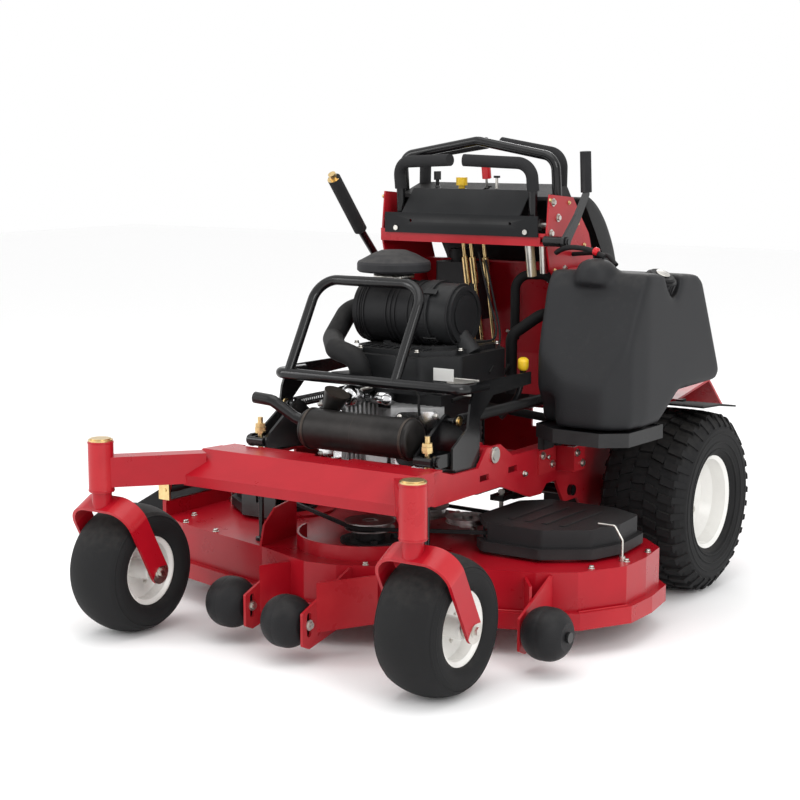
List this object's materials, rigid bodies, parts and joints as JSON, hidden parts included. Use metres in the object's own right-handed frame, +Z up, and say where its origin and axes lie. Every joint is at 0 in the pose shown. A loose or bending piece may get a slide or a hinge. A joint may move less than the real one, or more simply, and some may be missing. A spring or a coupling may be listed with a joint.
{
  "type": "stand-on zero turn mower",
  "caption": "Stand-on zero turn mower with folding operator platform, swivelling front casters, hydrostatic drive wheels and a height-adjustable rotary cutting deck.",
  "frame": {"origin": "on the ground under the middle of the machine's box", "axes": "+X towards the operator's left, +Y from the casters to the operator platform, +Z up"},
  "size_m": [1.591, 1.968, 1.2554],
  "materials": {
    "red_painted_steel": "satin powder coat",
    "black_painted_steel": "satin",
    "white_painted_steel": "satin",
    "zinc_plated_steel": "zinc plate",
    "bare_steel": "machined",
    "cast_aluminium": "as cast",
    "black_plastic": "moulded",
    "grey_plastic": "moulded",
    "yellow_plastic": "moulded",
    "red_plastic": "moulded",
    "rubber": "matt",
    "tyre_rubber": "treaded",
    "pad_cover": "textured vinyl"
  },
  "bodies": {
    "chassis": {"front_frame": "red_painted_steel", "main_frame": "red_painted_steel", "transaxles": "cast_aluminium", "engine_block": "cast_aluminium", "blower_housing": "grey_plastic", "air_cleaner_canister": "black_plastic", "precleaner_cap": "black_plastic", "muffler": "black_painted_steel", "engine_guard": "black_painted_steel", "tower_frame": "red_painted_steel", "tower_front_panel": "black_painted_steel", "control_console": "black_plastic", "reference_bars": "black_painted_steel", "operator_pad": "pad_cover", "fuel_tank": "grey_plastic", "tank_tray": "red_painted_steel", "oil_reservoir": "black_plastic", "battery": "black_plastic", "chassis_hardware": "zinc_plated_steel", "hoses": "rubber", "lift_springs": "black_painted_steel"},
    "cutting_deck": {"deck_shell": "red_painted_steel", "belt_covers": "grey_plastic", "spindle_housings": "cast_aluminium", "deck_belt": "rubber", "deck_hardware": "zinc_plated_steel"},
    "engine_output": {"engine_pulley": "bare_steel"},
    "tank_cap": {"fuel_cap": "red_plastic"},
    "operator_platform": {"platform": "red_painted_steel"},
    "front_cranks": {"front_lift_cranks": "black_painted_steel"},
    "rear_lift": {"rear_lift_shaft": "black_painted_steel"},
    "height_lever": {"lift_lever": "black_painted_steel"},
    "idler_arm": {"deck_idler": "bare_steel"},
    "chute": {"discharge_chute": "rubber"},
    "parking_brake": {"brake_lever": "black_painted_steel"},
    "throttle": {"throttle_lever": "red_plastic"},
    "key": {"ignition_key": "black_plastic"},
    "blade_switch": {"pto_knob": "yellow_plastic"},
    "choke": {"choke_knob": "black_plastic"},
    "caster_swivel_left": {"caster_fork_left": "red_painted_steel"},
    "caster_wheel_left": {"caster_rim_left": "white_painted_steel", "caster_tyre_left": "tyre_rubber"},
    "drive_wheel_left": {"drive_rim_left": "white_painted_steel", "drive_tyre_left": "tyre_rubber"},
    "steering_bar_left": {"motion_lever_left": "black_painted_steel"},
    "caster_swivel_right": {"caster_fork_right": "red_painted_steel"},
    "caster_wheel_right": {"caster_rim_right": "white_painted_steel", "caster_tyre_right": "tyre_rubber"},
    "drive_wheel_right": {"drive_rim_right": "white_painted_steel", "drive_tyre_right": "tyre_rubber"},
    "steering_bar_right": {"motion_lever_right": "black_painted_steel"},
    "cutter_left": {"spindle_left": "bare_steel", "blade_left": "bare_steel"},
    "scalp_wheel_left": {"anti_scalp_roller_left": "black_plastic"},
    "cutter_middle": {"spindle_middle": "bare_steel", "blade_middle": "bare_steel"},
    "scalp_wheel_middle": {"anti_scalp_roller_middle": "black_plastic"},
    "cutter_right": {"spindle_right": "bare_steel", "blade_right": "bare_steel"},
    "scalp_wheel_right": {"anti_scalp_roller_right": "black_plastic"}
  },
  "joints": [
    {"name": "deck_height", "type": "slide", "parent": "chassis", "child": "cutting_deck", "axis": [0, 0, 1], "range_m": [-0.014, 0.022], "deforming": ["deck_belt"]},
    {"name": "front_crank_turn", "type": "hinge", "parent": "chassis", "child": "front_cranks", "pos_m": [0.1165, -0.313, 0.46], "axis": [1, 0, 0], "range_deg": [-6, 4], "deforming": ["lift_springs"]},
    {"name": "rear_shaft_turn", "type": "hinge", "parent": "chassis", "child": "rear_lift", "pos_m": [0.1165, 0.092, 0.3], "axis": [1, 0, 0], "range_deg": [-7.5, 5]},
    {"name": "height_lever_turn", "type": "hinge", "parent": "chassis", "child": "height_lever", "pos_m": [-0.2175, 0.202, 0.8], "axis": [1, 0, 0], "range_deg": [-13.5, 8.7]},
    {"name": "engine_turn", "type": "hinge", "parent": "chassis", "child": "engine_output", "pos_m": [0.1165, -0.198, 0.3], "axis": [0, 0, 1], "continuous": true},
    {"name": "blade_turn_left", "type": "hinge", "parent": "cutting_deck", "child": "cutter_left", "pos_m": [0.5475, -0.198, 0.15], "axis": [0, 0, 1], "continuous": true},
    {"name": "blade_turn_middle", "type": "hinge", "parent": "cutting_deck", "child": "cutter_middle", "pos_m": [0.1165, -0.418, 0.15], "axis": [0, 0, 1], "continuous": true},
    {"name": "blade_turn_right", "type": "hinge", "parent": "cutting_deck", "child": "cutter_right", "pos_m": [-0.3145, -0.198, 0.15], "axis": [0, 0, 1], "continuous": true},
    {"name": "idler_swing", "type": "hinge", "parent": "cutting_deck", "child": "idler_arm", "pos_m": [0.2665, -0.148, 0.24], "axis": [0, 0, 1], "range_deg": [-5, 5], "stiffness_Nm_per_rad": 60},
    {"name": "chute_swing", "type": "hinge", "parent": "cutting_deck", "child": "chute", "pos_m": [-0.5355, -0.258, 0.285], "axis": [0, 1, 0], "range_deg": [0, 85]},
    {"name": "scalp_wheel_turn_right", "type": "hinge", "parent": "cutting_deck", "child": "scalp_wheel_right", "pos_m": [-0.0765, -0.75, 0.1], "axis": [1, 0, 0], "continuous": true},
    {"name": "scalp_wheel_turn_middle", "type": "hinge", "parent": "cutting_deck", "child": "scalp_wheel_middle", "pos_m": [0.1465, -0.81, 0.1], "axis": [1, 0, 0], "continuous": true},
    {"name": "scalp_wheel_turn_left", "type": "hinge", "parent": "cutting_deck", "child": "scalp_wheel_left", "pos_m": [0.7215, -0.554, 0.1], "axis": [1, 0, 0], "continuous": true},
    {"name": "caster_swivel_left", "type": "hinge", "parent": "chassis", "child": "caster_swivel_left", "pos_m": [0.5835, -0.918, 0.4], "axis": [0, 0, 1], "continuous": true},
    {"name": "caster_roll_left", "type": "hinge", "parent": "caster_swivel_left", "child": "caster_wheel_left", "pos_m": [0.5835, -0.819, 0.165], "axis": [1, 0, 0], "continuous": true},
    {"name": "drive_roll_left", "type": "hinge", "parent": "chassis", "child": "drive_wheel_left", "pos_m": [0.6125, 0.37, 0.252], "axis": [1, 0, 0], "continuous": true},
    {"name": "steering_bar_tilt_left", "type": "hinge", "parent": "chassis", "child": "steering_bar_left", "pos_m": [0.3295, 0.044, 1.02], "axis": [1, 0, 0], "range_deg": [-12, 12], "stiffness_Nm_per_rad": 60},
    {"name": "caster_swivel_right", "type": "hinge", "parent": "chassis", "child": "caster_swivel_right", "pos_m": [-0.3505, -0.918, 0.4], "axis": [0, 0, 1], "continuous": true},
    {"name": "caster_roll_right", "type": "hinge", "parent": "caster_swivel_right", "child": "caster_wheel_right", "pos_m": [-0.3505, -0.819, 0.165], "axis": [1, 0, 0], "continuous": true},
    {"name": "drive_roll_right", "type": "hinge", "parent": "chassis", "child": "drive_wheel_right", "pos_m": [-0.3795, 0.37, 0.252], "axis": [1, 0, 0], "continuous": true},
    {"name": "steering_bar_tilt_right", "type": "hinge", "parent": "chassis", "child": "steering_bar_right", "pos_m": [-0.0965, 0.044, 1.02], "axis": [1, 0, 0], "range_deg": [-12, 12], "stiffness_Nm_per_rad": 60},
    {"name": "brake_swing", "type": "hinge", "parent": "chassis", "child": "parking_brake", "pos_m": [0.4445, 0.013, 0.981], "axis": [1, 0, 0], "range_deg": [0, 35]},
    {"name": "throttle_swing", "type": "hinge", "parent": "chassis", "child": "throttle", "pos_m": [0.1265, 0.144, 1.088], "axis": [1, 0, 0], "range_deg": [-15, 15]},
    {"name": "choke_pull", "type": "slide", "parent": "chassis", "child": "choke", "axis": [0, 0, 1], "range_m": [0, 0.025]},
    {"name": "blade_switch_pull", "type": "slide", "parent": "chassis", "child": "blade_switch", "axis": [0, 0, 1], "range_m": [0, 0.012]},
    {"name": "key_turn", "type": "hinge", "parent": "chassis", "child": "key", "pos_m": [-0.0265, 0.122, 1.12], "axis": [0, 0, 1], "range_deg": [0, 60]},
    {"name": "cap_turn", "type": "hinge", "parent": "chassis", "child": "tank_cap", "pos_m": [0.6645, 0.114, 0.862], "axis": [0.4198, -0.12, 0.8996], "range_deg": [0, 120]},
    {"name": "platform_fold", "type": "hinge", "parent": "chassis", "child": "operator_platform", "pos_m": [0.1165, 0.662, 0.19], "axis": [1, 0, 0], "range_deg": [0, 88]}
  ],
  "couplings": [
    {"joint": "front_crank_turn", "follows": "deck_height", "rad_per_m": -4.3478},
    {"joint": "rear_shaft_turn", "follows": "deck_height", "rad_per_m": -5.5556},
    {"joint": "height_lever_turn", "follows": "deck_height", "rad_per_m": -10.15},
    {"joint": "blade_turn_left", "follows": "engine_turn", "ratio": 1.3771},
    {"joint": "blade_turn_middle", "follows": "engine_turn", "ratio": 1.3771},
    {"joint": "blade_turn_right", "follows": "engine_turn", "ratio": 1.3771}
  ]
}
